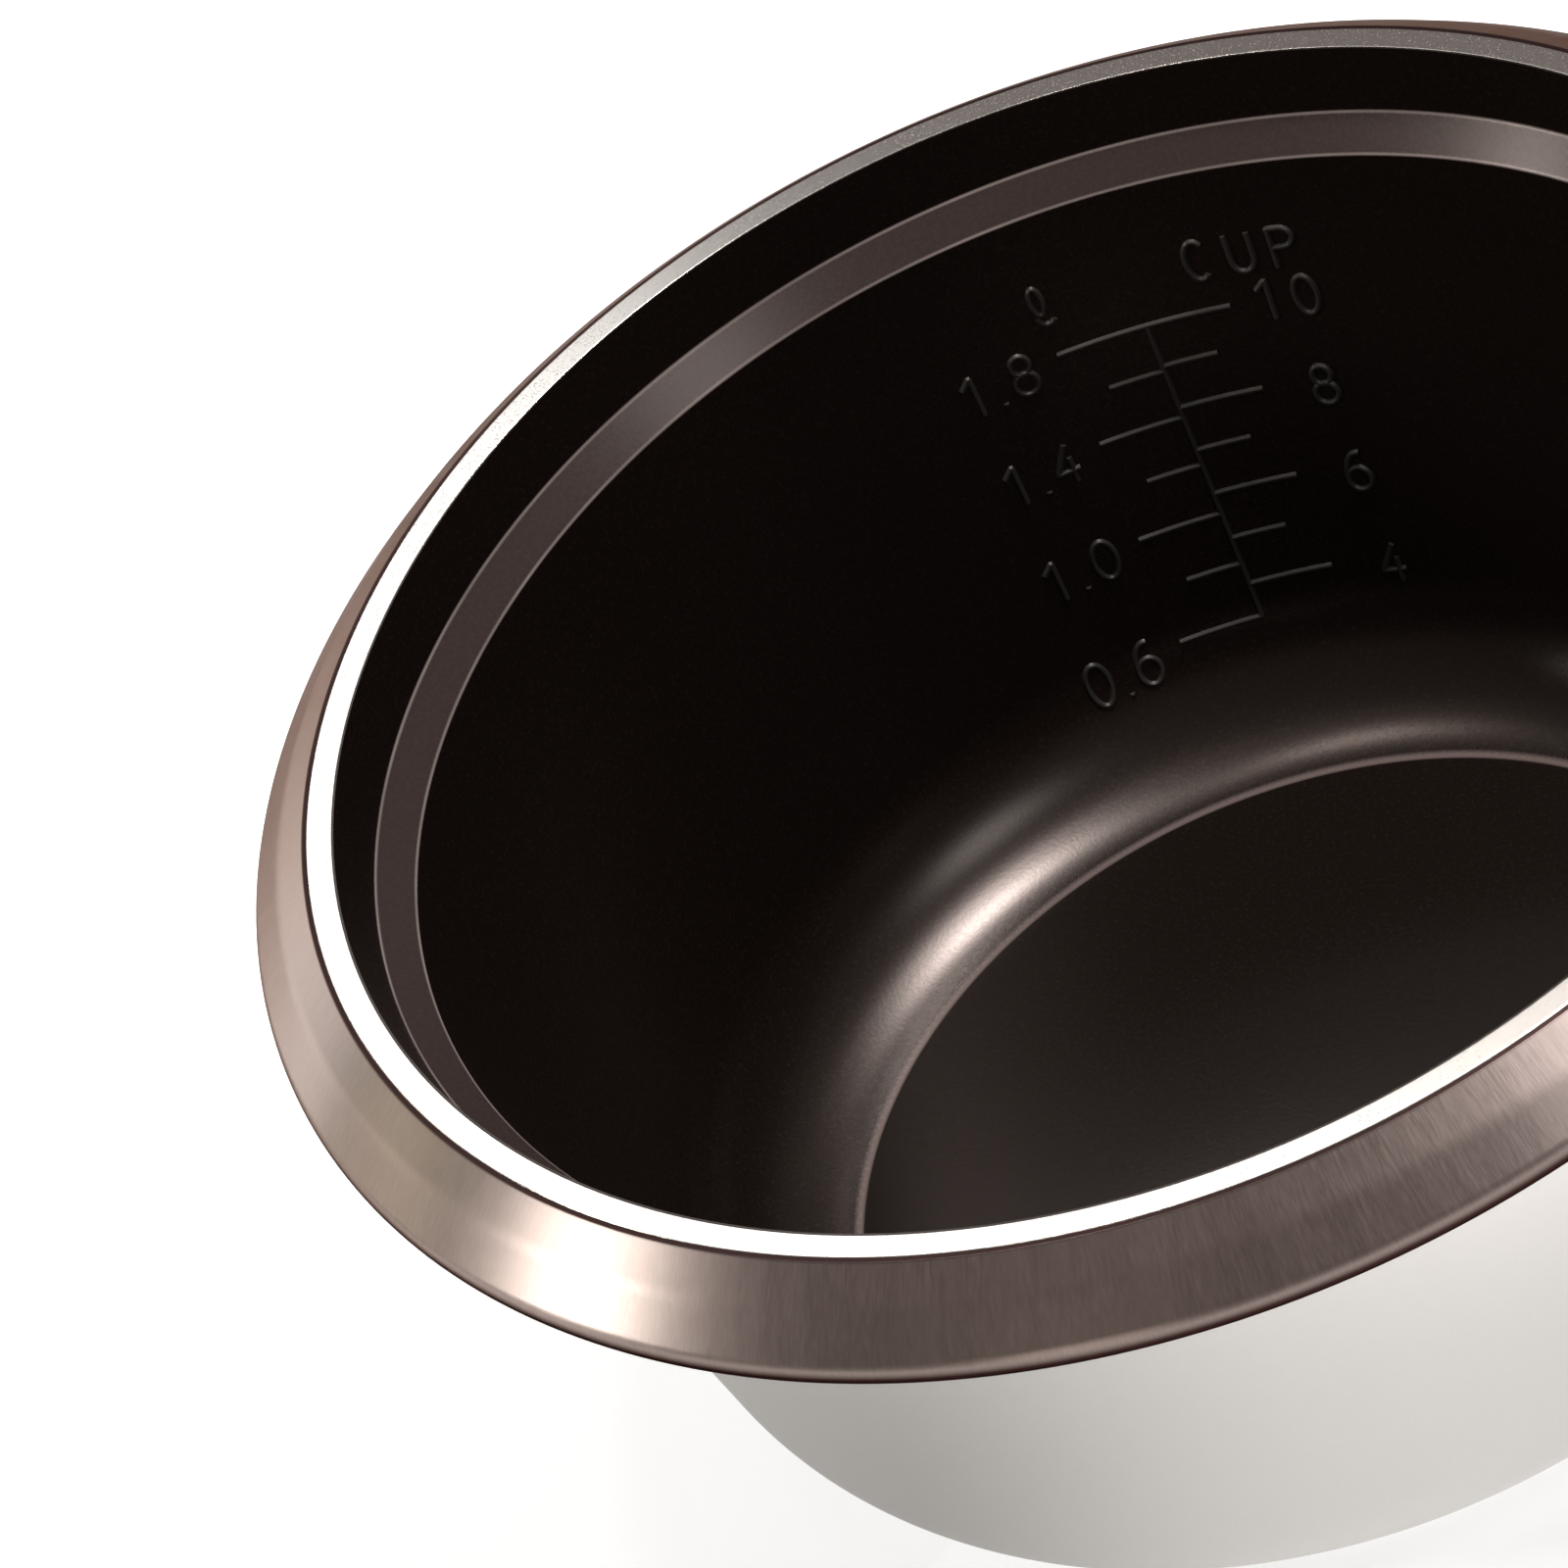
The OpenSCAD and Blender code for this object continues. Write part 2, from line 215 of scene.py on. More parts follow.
def make(tree, kind, settings=None, values=None, output=0):
    """Adds any node with its settings and socket values, and returns one of its outputs."""
    node = tree.nodes.new(kind)
    for name, value in (settings or {}).items():
        setattr(node, name, value)
    for name, value in (values or {}).items():
        plug(tree, node.inputs[name], value)
    return Wire(tree, node.outputs[output])


def split(vector):
    """The x, y and z of a vector wire."""
    node = vector.tree.nodes.new("ShaderNodeSeparateXYZ")
    plug(vector.tree, node.inputs[0], vector)
    return [Wire(vector.tree, socket) for socket in node.outputs]


def joined(tree, x, y, z):
    """A vector wire from its three parts."""
    return make(tree, "ShaderNodeCombineXYZ", None, {"X": x, "Y": y, "Z": z})


class Finish:
    """A material with one Principled shader, whose patterns read Object coordinates in metres."""

    def __init__(self, name, metallic=0.0, roughness=0.5, coat=0.0, coat_roughness=0.1,
                 tint=(1, 1, 1, 1)):
        self.material = bpy.data.materials.new(name)
        self.material.use_nodes = True
        self.tree = self.material.node_tree
        self.shader = next(n for n in self.tree.nodes if n.type == "BSDF_PRINCIPLED")
        self.set("Metallic", metallic)
        self.set("Roughness", roughness)
        self.set("IOR", 1.5)
        self.set("Coat Weight", coat)
        self.set("Coat Roughness", coat_roughness)
        self.set("Specular Tint", tint)
        self.place = make(self.tree, "ShaderNodeTexCoord", output=3)
        self.x, self.y, self.z = split(self.place)
        self.radius = (self.x * self.x + self.y * self.y).root()

    def set(self, socket, value):
        plug(self.tree, self.shader.inputs[socket], value)

    def noise(self, scale, detail=2.0, roughness=0.5, place=None):
        """Soft random grain from 0 to 1; the scale is in grains per metre."""
        return make(self.tree, "ShaderNodeTexNoise", None,
                    {"Vector": place or self.place, "Scale": scale, "Detail": detail,
                     "Roughness": roughness})

    def blend(self, share, first, second):
        """A colour between two others."""
        node = self.tree.nodes.new("ShaderNodeMix")
        node.data_type = "RGBA"
        colours = [slot for slot in node.inputs if slot.type == "RGBA"]
        plug(self.tree, node.inputs["Factor"], share)
        plug(self.tree, colours[0], first)
        plug(self.tree, colours[1], second)
        return Wire(self.tree, next(slot for slot in node.outputs if slot.type == "RGBA"))

    def bump(self, height, strength, distance):
        """Raises the surface by a height from 0 to 1 over a distance in metres."""
        self.set("Normal", make(self.tree, "ShaderNodeBump", None,
                                {"Height": height, "Strength": strength, "Distance": distance}))

    def around(self, scale_up):
        """A place that changes mostly with the way round the pot, for streaks down its side."""
        return joined(self.tree, self.x / self.radius, self.y / self.radius, self.z * scale_up)


# ---------------------------------------------------------------- finishes

def rings_round(finish, pitch):
    """Rings left by the turning tool, from 0 to 1, a pitch apart."""
    return (finish.radius * (2 * math.pi / pitch)).sine() * 0.5 + 0.5


def lining_finish(sizes, colours):
    """Dark non-stick coating with a fine grain, paler on the lid seat, with painted highlight on
    the seat's edges and a painted reflection along the floor crease.
    """
    finish = Finish("nonstick_coating", coat=0.06, coat_roughness=0.22, tint=(1, 0.84, 0.78, 1))
    grain = finish.noise(1500, 3, 0.6)
    cloud = finish.noise(35, 3)
    flecks = grain.rise(0.52, 0.72)
    dark = finish.blend(flecks * (0.5 + 0.5 * cloud), colours.lining, colours.lining_fleck)
    seat_top = sizes.height - sizes.collar_height
    seat_foot = seat_top - sizes.seat_height
    on_seat = finish.z.within(seat_foot - 0.4 * MM, seat_foot + 0.5 * MM,
                              seat_top - 0.5 * MM, seat_top + 0.4 * MM)
    # Painted highlight: thin pale lines on the seat's two edges, in place of the glints they catch.
    half_edge = 0.35 * MM
    painted_seat_glint = sum(finish.z.within(z - half_edge, z, z, z + half_edge)
                  for z in (seat_foot, seat_top))
    crease = PotProfile(sizes).crease_radius
    # Painted reflection: a paler ring just outside the floor crease, low in the bowl.
    in_bowl = finish.z < 8 * MM
    painted_crease_reflection = finish.radius.within(crease - 0.3 * MM, crease + 0.3 * MM,
                                     crease + 0.6 * MM, crease + 1.8 * MM) * in_bowl
    seated = finish.blend(on_seat * (0.75 + 0.5 * (grain - 0.5)), dark, colours.seat)
    with_seat_glints = finish.blend(painted_seat_glint * (0.6 + 0.8 * (cloud - 0.5)), seated, colours.seat_edge)
    finish.set("Base Color", finish.blend(painted_crease_reflection * 0.8, with_seat_glints, colours.crease))
    past_crease = finish.radius.rise(crease - 0.5 * MM, crease + 0.5 * MM)
    finish.set("Roughness", 0.14 + 0.08 * grain + 0.09 * past_crease)
    finish.bump(grain, 0.22, 0.05 * MM)
    return finish.material


def relief_finish(colours):
    """The same coating where it runs over the raised marks, a little smoother, with a paler colour
    that is painted highlight.
    """
    finish = Finish("nonstick_relief", coat=0.5, coat_roughness=0.16, tint=(1, 0.88, 0.84, 1))
    grain = finish.noise(1800, 2)
    flecks = grain.rise(0.4, 0.7)
    # Painted highlight: the marks take a paler colour than the lining around them.
    finish.set("Base Color", finish.blend(flecks, colours.relief, colours.relief_fleck))
    finish.set("Roughness", 0.28 + 0.12 * grain)
    finish.bump(grain, 0.2, 0.04 * MM)
    return finish.material


def land_finish(sizes, colours):
    """Bare turned aluminium: rings from the tool, and small dull specks along them."""
    finish = Finish("machined_aluminium", metallic=1.0)
    rings = rings_round(finish, 0.32 * MM)
    specks = finish.noise(2600, 1).rise(0.58, 0.70)
    finish.set("Base Color", finish.blend(specks * 0.5, colours.land, colours.land_speck))
    finish.set("Roughness", 0.16 + 0.10 * specks + 0.03 * rings)
    finish.bump(rings * 0.3 + specks * 0.7, 0.10, 0.02 * MM)
    return finish.material


def skin_finish(sizes, colours):
    """Satin steel: soft and even on the side, with turned rings on the base."""
    finish = Finish("satin_steel", metallic=1.0, roughness=0.34)
    grain = finish.noise(2200, 2)
    streak = finish.noise(260, 2, place=finish.around(2.0))
    cloud = finish.noise(18, 2)
    on_base = 1 - finish.z.rise(0.1 * MM, 1.2 * MM)
    rings = rings_round(finish, 0.9 * MM)
    dull = 0.35 * cloud + 0.25 * streak
    finish.set("Base Color", finish.blend(dull, colours.skin, colours.skin_cloud))
    finish.set("Roughness", 0.30 + 0.06 * grain + 0.05 * cloud + on_base * 0.08 * rings)
    finish.bump(grain * 0.5 + streak * 0.2 + on_base * rings * 2.0, 0.10, 0.03 * MM)
    return finish.material


def band_finish(sizes, colours):
    """Bronze metal, brushed down its face in fine streaks, with painted shade on its rolled lower
    edge and on its top edge.
    """
    finish = Finish("bronze_band", metallic=1.0, roughness=0.30, tint=(0.2, 0.14, 0.12, 1))
    finish.set("Anisotropic", 0.7)
    finish.set("Anisotropic Rotation", 0.25)
    fine = finish.noise(420, 3, 0.7, finish.around(1.2))
    broad = finish.noise(60, 2, place=finish.around(0.8))
    streaks = fine.rise(0.35, 0.75) * 0.35 + 0.25 * broad
    brushed = finish.blend(streaks, colours.band, colours.band_streak)
    # Painted shade: the rolled lower edge is painted dark in place of its dark reflection, and the
    # top edge is painted dark as the shadow in the gap below the land.
    low_z = sizes.height - sizes.band_height
    rolled = 1 - finish.z.rise(low_z + 0.8 * sizes.band_round, low_z + 1.5 * sizes.band_round)
    edge = sizes.mouth_radius + sizes.land_width + sizes.band_edge
    near_top = finish.z > sizes.height - 1.5 * MM
    top_edge = (1 - finish.radius.rise(edge - 0.2 * MM, edge + 0.3 * MM)) * near_top
    finish.set("Base Color", finish.blend(rolled.at_least(top_edge), brushed, colours.band_edge))
    finish.set("Roughness", 0.24 + 0.14 * fine + 0.05 * broad)
    finish.bump(fine, 0.15, 0.04 * MM)
    return finish.material


# ---------------------------------------------------------------- profiles

# Every line of a profile is a row of points (radius, height) in metres.
ARC_STEP = math.radians(2)
SWING_STEPS = 28
SWING_END = math.radians(26)  # slope at which the ring's curve meets the floor corner's arc
PAST_RIM = 3 * MM  # how far a section runs on above the rim before it is cut off
BAND_TOP_ROUND = 0.2 * MM


def corner(before, at, after, radius):
    """Points of the arc that rounds a corner."""
    back = (before - at).normalized()
    on = (after - at).normalized()
    half = math.acos(max(-1.0, min(1.0, back.dot(on)))) / 2
    centre = at + (back + on).normalized() * radius / math.sin(half)
    first = at + back * radius / math.tan(half) - centre
    last = at + on * radius / math.tan(half) - centre
    start = math.atan2(first.y, first.x)
    sweep = (math.atan2(last.y, last.x) - start + 3 * math.pi) % (2 * math.pi) - math.pi
    steps = max(4, math.ceil(abs(sweep) / ARC_STEP))
    turns = [start + sweep * i / steps for i in range(steps + 1)]
    return [centre + radius * Vector((math.cos(turn), math.sin(turn))) for turn in turns]


def rounded(line, radii):
    """A line with its inner corners rounded by their radii."""
    points = []
    for i, (point, radius) in enumerate(zip(line, radii)):
        if radius > 0:
            points += corner(line[i - 1], point, line[i + 1], radius)
        else:
            points.append(point)
    return points


def slope_of(start, end):
    """The slope of a way in radians."""
    return math.atan2(end.y - start.y, end.x - start.x)


def right_of(start, end):
    """The way square to a line, on its right."""
    way = (end - start).normalized()
    return Vector((way.y, -way.x))


def shifted(line, distance):
    """A line moved to its right, with its corners kept sharp."""
    moved = []
    last = len(line) - 1
    for i, point in enumerate(line):
        before = right_of(line[max(i - 1, 0)], line[max(i, 1)])
        after = right_of(line[min(i, last - 1)], line[min(i + 1, last)])
        moved.append(point + distance * (before + after) / (1 + before.dot(after)))
    return moved


def shifted_radii(line, radii, distance):
    """Radii of the corners of a line after it moves to its right."""
    result = []
    for i, radius in enumerate(radii):
        if radius == 0:
            result.append(0)
            continue
        before = line[i] - line[i - 1]
        after = line[i + 1] - line[i]
        turn = before.x * after.y - before.y * after.x
        result.append(max(0, radius + distance * math.copysign(1, turn)))
    return result


def at_height(start, end, z):
    """The point of a straight line at a height."""
    return start.lerp(end, (z - start.y) / (end.y - start.y))


def cut_at(line, height):
    """A rising line cut off at a height."""
    same = 0.0001 * MM
    kept = [point for point in line if point.y < height - same]
    return kept + [at_height(kept[-1], line[len(kept)], height)]


def supported(line, near=0.4 * MM, longest=6 * MM):
    """A line whose long straight runs have more points, so that its shading stays even."""
    points = [line[0]]
    for start, end in zip(line, line[1:]):
        run = (end - start).length
        if run > 3 * near:
            count = math.ceil(run / longest)
            inner = [near + (run - 2 * near) * i / count for i in range(count + 1)]
            points += [start.lerp(end, distance / run) for distance in inner]
        points.append(end)
    return points


class PotProfile:
    """The section of the pot, worked out from its sizes."""

    def __init__(self, sizes):
        self.sizes = s = sizes
        self.lean = math.tan(s.wall_lean)
        self.seat_top = Vector((s.mouth_radius - s.collar_taper, s.height - s.collar_height))
        self.wall_top = self.seat_top - Vector((s.seat_width, s.seat_height))
        self.land_radius = s.mouth_radius + s.land_width
        self.flange_z = s.height - s.flange_thickness
        ring_z = s.floor_thickness + math.tan(s.ring_slope) * s.ring_width
        self.crease_radius = self.wall_radius(ring_z) - s.ring_width
        self.face = [
            Vector((0, s.floor_thickness)),
            Vector((self.crease_radius, s.floor_thickness)),
            Vector((self.wall_radius(ring_z), ring_z)),
            self.wall_top,
            self.seat_top,
            Vector((s.mouth_radius + PAST_RIM * s.collar_taper / s.collar_height,
                    s.height + PAST_RIM)),
        ]
        self.face_radii = [0, 0, s.floor_corner, s.seat_round, s.seat_round, 0]
        self.moved = shifted(self.face, s.wall_thickness)
        foot = Vector((self.moved[3].x - self.lean * self.moved[3].y, 0))
        self.outside = [Vector((0, 0)), foot, self.moved[3], self.moved[4], self.moved[5]]
        self.outside_radii = [0, s.base_corner, 0, s.seat_round + s.wall_thickness, 0]

    def wall_radius(self, z):
        """Radius of the cooking wall at a height."""
        return self.wall_top.x - self.lean * (self.wall_top.y - z)

    def face_line(self, distance):
        """The cooking face moved outwards."""
        radii = shifted_radii(self.face, self.face_radii, distance)
        return rounded(shifted(self.face, distance), radii)

    def cooking_line(self):
        """The cooking face with a crisp crease, from which the ring swings up into the corner."""
        line = self.face_line(0)
        join = next(i for i in range(2, len(line) - 1)
                    if slope_of(line[i], line[i + 1]) > SWING_END)
        crease, meeting = line[1], line[join]
        low, high = math.tan(self.sizes.crease_slope), math.tan(slope_of(meeting, line[join + 1]))
        reach = (meeting.y - crease.y - high * (meeting.x - crease.x)) / (low - high)
        swing = Vector((crease.x + reach, crease.y + low * reach))
        shares = [i / SWING_STEPS for i in range(SWING_STEPS + 1)]
        curve = [crease.lerp(swing, share).lerp(swing.lerp(meeting, share), share)
                 for share in shares]
        return [line[0]] + curve + line[join + 1:]

    def outside_line(self, distance):
        """The outside moved inwards."""
        return rounded(shifted(self.outside, -distance),
                       shifted_radii(self.outside, self.outside_radii, -distance))


def lining_profile(profile):
    """Cooking face, then back down behind the lining."""
    s = profile.sizes
    face = cut_at(profile.cooking_line(), s.height)
    back = cut_at(profile.face_line(s.lining_thickness), s.height)
    return supported(face) + supported(back[::-1])


def core_profile(profile):
    """Aluminium body between the lining and the skin, with its land on top."""
    s = profile.sizes
    outer = cut_at(profile.outside_line(s.skin_thickness), profile.flange_z)
    inner = cut_at(profile.face_line(s.lining_thickness), s.height)
    land = [Vector((profile.land_radius, profile.flange_z)),
            Vector((profile.land_radius, s.height)),
            inner[-1],
            inner[-2]]
    edge = rounded(land, [0, s.land_edge, s.land_edge, 0])[:-1]
    return supported(outer) + supported(edge) + supported(inner[::-1][1:])


def skin_profile(profile):
    """Outside of the pot, then back down behind the steel skin."""
    s = profile.sizes
    outer = cut_at(profile.outside_line(0), profile.flange_z)
    inner = cut_at(profile.outside_line(s.skin_thickness), profile.flange_z)
    return supported(outer) + supported(inner[::-1])


def band_profile(profile):
    """Band from its top edge down its face, round its hem and up behind it."""
    s = profile.sizes
    top_edge = Vector((profile.land_radius + s.band_edge, s.height - s.edge_step))
    low_z = s.height - s.band_height
    foot_centre = Vector((profile.land_radius + s.band_reach - s.band_round, low_z + s.band_round))
    way = foot_centre - top_edge
    flare = math.atan2(way.y, way.x) + math.asin(s.band_round / way.length)
    foot = Vector((top_edge.x + (low_z - top_edge.y) / math.tan(flare), low_z))
    middle = top_edge + (foot - top_edge).normalized() * way.length / 2 \
        - s.band_crown * right_of(top_edge, foot)
    line = [top_edge, middle, foot, Vector((foot_centre.x - s.hem_width, low_z))]
    radii = [0, s.band_height, s.band_round, 0]
    back = shifted(line, s.band_thickness)
    back_curve = rounded(back, shifted_radii(line, radii, s.band_thickness))
    lip_z = profile.flange_z - s.lip_thickness
    inner = [Vector((profile.land_radius, profile.flange_z)),
             at_height(profile.moved[4], profile.moved[5], profile.flange_z),
             at_height(profile.moved[4], profile.moved[5], lip_z),
             at_height(back[0], back[1], lip_z)]
    edge = rounded([Vector((profile.land_radius, top_edge.y)), top_edge, middle],
                   [0, BAND_TOP_ROUND, 0])[:-1]
    face = rounded(line, radii)[1:]
    return (supported(inner[::-1])[1:] + supported(edge + face)
            + supported(back_curve[::-1])[:-1] + [inner[3]])


# ---------------------------------------------------------------- geometry node trees

SAME_PLACE = 0.001 * MM
RIDGE_FOOT = 0.2 * MM  # how deep the foot of a raised mark is sunk in the wall
RIDGE_ROUND = 0.12 * MM
TIP_SHARE = 0.02  # least share of the stroke's width at its very end
SHARP_EDGE = math.radians(28)


def new_tree(name, **inputs):
    """A geometry tree with a mesh coming in and named inputs; returns it with its input wires."""
    tree = bpy.data.node_groups.new(name, "GeometryNodeTree")
    tree.interface.new_socket("Geometry", in_out="INPUT", socket_type="NodeSocketGeometry")
    tree.interface.new_socket("Geometry", in_out="OUTPUT", socket_type="NodeSocketGeometry")
    for label, kind in inputs.items():
        tree.interface.new_socket(label, in_out="INPUT", socket_type="NodeSocket" + kind)
    entry = tree.nodes.new("NodeGroupInput")
    return tree, {socket.name: Wire(tree, socket) for socket in entry.outputs if socket.name}


def close_tree(tree, mesh, material):
    """Ends a tree in real faces with one material."""
    smooth = make(tree, "GeometryNodeSetShadeSmooth", None, {"Geometry": mesh})
    real = make(tree, "GeometryNodeRealizeInstances", None, {"Geometry": smooth})
    painted = make(tree, "GeometryNodeSetMaterial", None, {"Geometry": real, "Material": material})
    leave = tree.nodes.new("NodeGroupOutput")
    plug(tree, leave.inputs[0], painted)
    return tree


def turned_tree():
    """Turns a row of section points round the Z axis into a closed skin."""
    tree, given = new_tree("turned_skin", Segments="Int", Closed="Int", Material="Material")
    count = make(tree, "GeometryNodeAttributeDomainSize", None, {"Geometry": given["Geometry"]})
    rows = count + given["Closed"]
    grid = make(tree, "GeometryNodeMeshGrid", None,
                {"Vertices X": given["Segments"] + 1, "Vertices Y": rows})
    index = make(tree, "GeometryNodeInputIndex")
    rounding = 1e-4
    step = (index / rows + rounding).floor()
    row = (index - step * rows) % count
    sample = make(tree, "GeometryNodeSampleIndex", {"data_type": "FLOAT_VECTOR", "domain": "POINT"},
                  {"Geometry": given["Geometry"], "Index": row,
                   "Value": make(tree, "GeometryNodeInputPosition")})
    radius, _, height = split(sample)
    turn = (step % given["Segments"]) / given["Segments"] * (2 * math.pi)
    place = joined(tree, radius * turn.cosine(), radius * turn.sine(), height)
    skin = make(tree, "GeometryNodeSetPosition", None, {"Geometry": grid, "Position": place})
    whole = make(tree, "GeometryNodeMergeByDistance", None,
                 {"Geometry": skin, "Distance": SAME_PLACE})
    return close_tree(tree, whole, given["Material"])


def ridge_section(tree, stroke, height, draft):
    """A flat-topped section with sloping flanks and soft edges, with its foot sunk in the wall."""
    slope = draft.math("TANGENT", draft)
    quad = make(tree, "GeometryNodeCurvePrimitiveQuadrilateral", {"mode": "TRAPEZOID"},
                {"Height": height + RIDGE_FOOT, "Bottom Width": stroke + slope * (2 * RIDGE_FOOT),
                 "Top Width": stroke - slope * height * 2, "Offset": 0.0})
    middle = (height - RIDGE_FOOT) / 2
    lifted = make(tree, "GeometryNodeTransform", None,
                  {"Geometry": quad, "Translation": joined(tree, 0.0, middle, 0.0)})
    turned = make(tree, "GeometryNodeTransform", None,
                  {"Geometry": lifted, "Rotation": (0, 0, -math.pi / 2)})
    return make(tree, "GeometryNodeFilletCurve", {"mode": "POLY"},
                {"Curve": turned, "Count": 3, "Radius": RIDGE_ROUND, "Limit Radius": True})


def raised_tree():
    """Lays a ridge with sloping flanks and rounded ends along every line of a mesh of edges."""
    tree, given = new_tree("raised_line", Stroke="Float", Height="Float", Draft="Float",
                           Step="Float", Material="Material")
    curve = make(tree, "GeometryNodeMeshToCurve", None, {"Mesh": given["Geometry"]})
    even = make(tree, "GeometryNodeResampleCurve", {"mode": "LENGTH"},
                {"Curve": curve, "Length": given["Step"]})
    x, y, _ = split(make(tree, "GeometryNodeInputPosition"))
    square = make(tree, "GeometryNodeSetCurveNormal", {"mode": "FREE"},
                  {"Curve": even, "Normal": joined(tree, -x, -y, 0.0)})
    along = make(tree, "GeometryNodeSplineParameter", output=1)
    total = make(tree, "GeometryNodeSplineLength")
    cyclic = make(tree, "GeometryNodeInputSplineCyclic")
    half = given["Stroke"] / 2
    from_end = (along.at_most(total - along) / half).at_most(1).at_least(0)
    bevel = (1 - (1 - from_end) ** 2).at_least(TIP_SHARE).root()
    ridge = make(tree, "GeometryNodeSetCurveRadius", None,
                 {"Curve": square, "Radius": bevel.at_least(cyclic)})
    section = ridge_section(tree, given["Stroke"], given["Height"], given["Draft"])
    line = make(tree, "GeometryNodeCurveToMesh", None,
                {"Curve": ridge, "Profile Curve": section, "Fill Caps": True})
    return close_tree(tree, line, given["Material"])


def placed(name, data):
    """A new object at the origin of the scene."""
    item = bpy.data.objects.new(name, data)
    bpy.context.scene.collection.objects.link(item)
    return item


def finished(name, points, edges, tree, values):
    """Runs a tree on points and edges, and keeps its result as a plain mesh."""
    mesh = bpy.data.meshes.new(name)
    mesh.from_pydata(points, edges, [])
    piece = placed(name, mesh)
    modifier = piece.modifiers.new("shape", "NODES")
    modifier.node_group = tree
    sockets = {item.name: item.identifier for item in tree.interface.items_tree
               if item.in_out == "INPUT"}
    for label, value in values.items():
        modifier[sockets[label]] = value
    piece.update_tag()
    bpy.context.view_layer.update()
    depsgraph = bpy.context.evaluated_depsgraph_get()
    result = bpy.data.meshes.new_from_object(piece.evaluated_get(depsgraph))
    piece.modifiers.clear()
    piece.data = result
    result.name = name
    result.set_sharp_from_angle(angle=SHARP_EDGE)
    check_closed(piece)
    return piece


def check_closed(piece):
    """Raises an error if a piece has holes or is inside out."""
    shape = bmesh.new()
    shape.from_mesh(piece.data)
    open_edges = sum(1 for edge in shape.edges if not edge.is_manifold)
    volume = shape.calc_volume(signed=True)
    shape.free()
    if open_edges or volume <= 0:
        raise RuntimeError(f"{piece.name}: {open_edges} open edges, volume {volume}")


def keep(piece, slot, *nodes):
    """Puts a piece on the pot in place of its CAD nodes."""
    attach(piece, "root")
    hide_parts(*nodes)


def turned_piece(context, name, section, finish, slot, node, closed=False):
    """One node's piece, turned from its section."""
    settings = context.scene
    sizes = settings.pot_sizes
    line = section(PotProfile(sizes))
    tree = bpy.data.node_groups.get("turned_skin") or turned_tree()
    area = sum(a.x * b.y - a.y * b.x for a, b in zip(line, line[1:] + line[:1]))
    outwards = line if area > 0 else line[::-1]
    points = [(point.x, 0, point.y) for point in outwards]
    piece = finished(name, points, [], tree,
                     {"Segments": sizes.segments, "Closed": int(closed),
                      "Material": finish(sizes, settings.pot_finishes)})
    keep(piece, slot, node)


# ---------------------------------------------------------------- the level scale

FULL_CUPS = 10
CUPS_PER_LITRE = FULL_CUPS / 1.8
CUP_VALUES = (4, 6, 8)
CUP_SHORT_VALUES = (5, 7, 9)
LITRE_VALUES = (0.6, 1.0, 1.4)
LITRE_SHORT_VALUES = (0.8, 1.2, 1.6)
MARK_STEP = 0.5 * MM
SPINE_STEPS = 60
OVAL_STEPS = 28


class LevelScale:
    """Lines of the level marks, laid on the cooking wall.

    Places along the wall count from the spine, and the cup side is positive.
    """

    def __init__(self, profile, scale):
        self.profile = profile
        self.face = profile.face_line(0)
        self.scale = scale
        self.half_w = (scale.numeral_width - scale.stroke) / 2
        self.half_h = (scale.numeral_height - scale.stroke) / 2
        self.points = []
        self.edges = []

    def level(self, cups):
        """Height of the level of a number of cups."""
        wall = self.profile.wall_radius
        full = wall(self.scale.full_height) ** 3
        cup = full - wall(self.scale.full_height - self.scale.top_step) ** 3
        cone = (full - (FULL_CUPS - cups) * cup) ** (1 / 3)
        return (cone - wall(0)) / self.profile.lean

    def litre_level(self, litres):
        """Height of the level of a number of litres."""
        return self.level(litres * CUPS_PER_LITRE)

    def face_radius(self, z):
        """Radius of the cooking face at a height, in its round corner too."""
        for low, high in zip(self.face[2:], self.face[3:]):
            if low.y <= z <= high.y:
                return at_height(low, high, z).x
        return self.profile.wall_radius(z)

    def add(self, line, cyclic=False):
        """Adds a line of points that are already on the wall."""
        first = len(self.points)
        self.points += line
        count = len(line)
        self.edges += [(first + i, first + i + 1) for i in range(count - 1)]
        if cyclic:
            self.edges.append((first + count - 1, first))

    def on_wall(self, place, z, base_z):
        """A point on the wall."""
        radius = self.face_radius(z)
        turn = place / self.profile.wall_radius(base_z)
        return (radius * math.sin(turn), radius * math.cos(turn), z)

    def mark(self, start, end, z):
        """A level line along the wall."""
        steps = max(2, math.ceil((end - start) / MARK_STEP))
        self.add([self.on_wall(start + (end - start) * i / steps, z, z)
                  for i in range(steps + 1)])

    def sign(self, place, z, name):
        """A numeral or letter with its middle at a place and a height."""
        for line, cyclic in numeral(name, self.half_w, self.half_h):
            self.add([self.on_wall(place + x, z + y, z) for x, y in line], cyclic)


def oval(x, y, half_w, half_h, start, end):
    """Points of an oval arc; angles in degrees, counted from the right."""
    turns = [math.radians(start + (end - start) * i / OVAL_STEPS) for i in range(OVAL_STEPS + 1)]
    return [(x + half_w * math.cos(turn), y + half_h * math.sin(turn)) for turn in turns]


def ring(x, y, half_w, half_h):
    """A whole oval as a closed stroke."""
    return oval(x, y, half_w, half_h, 0, 360)[:-1], True


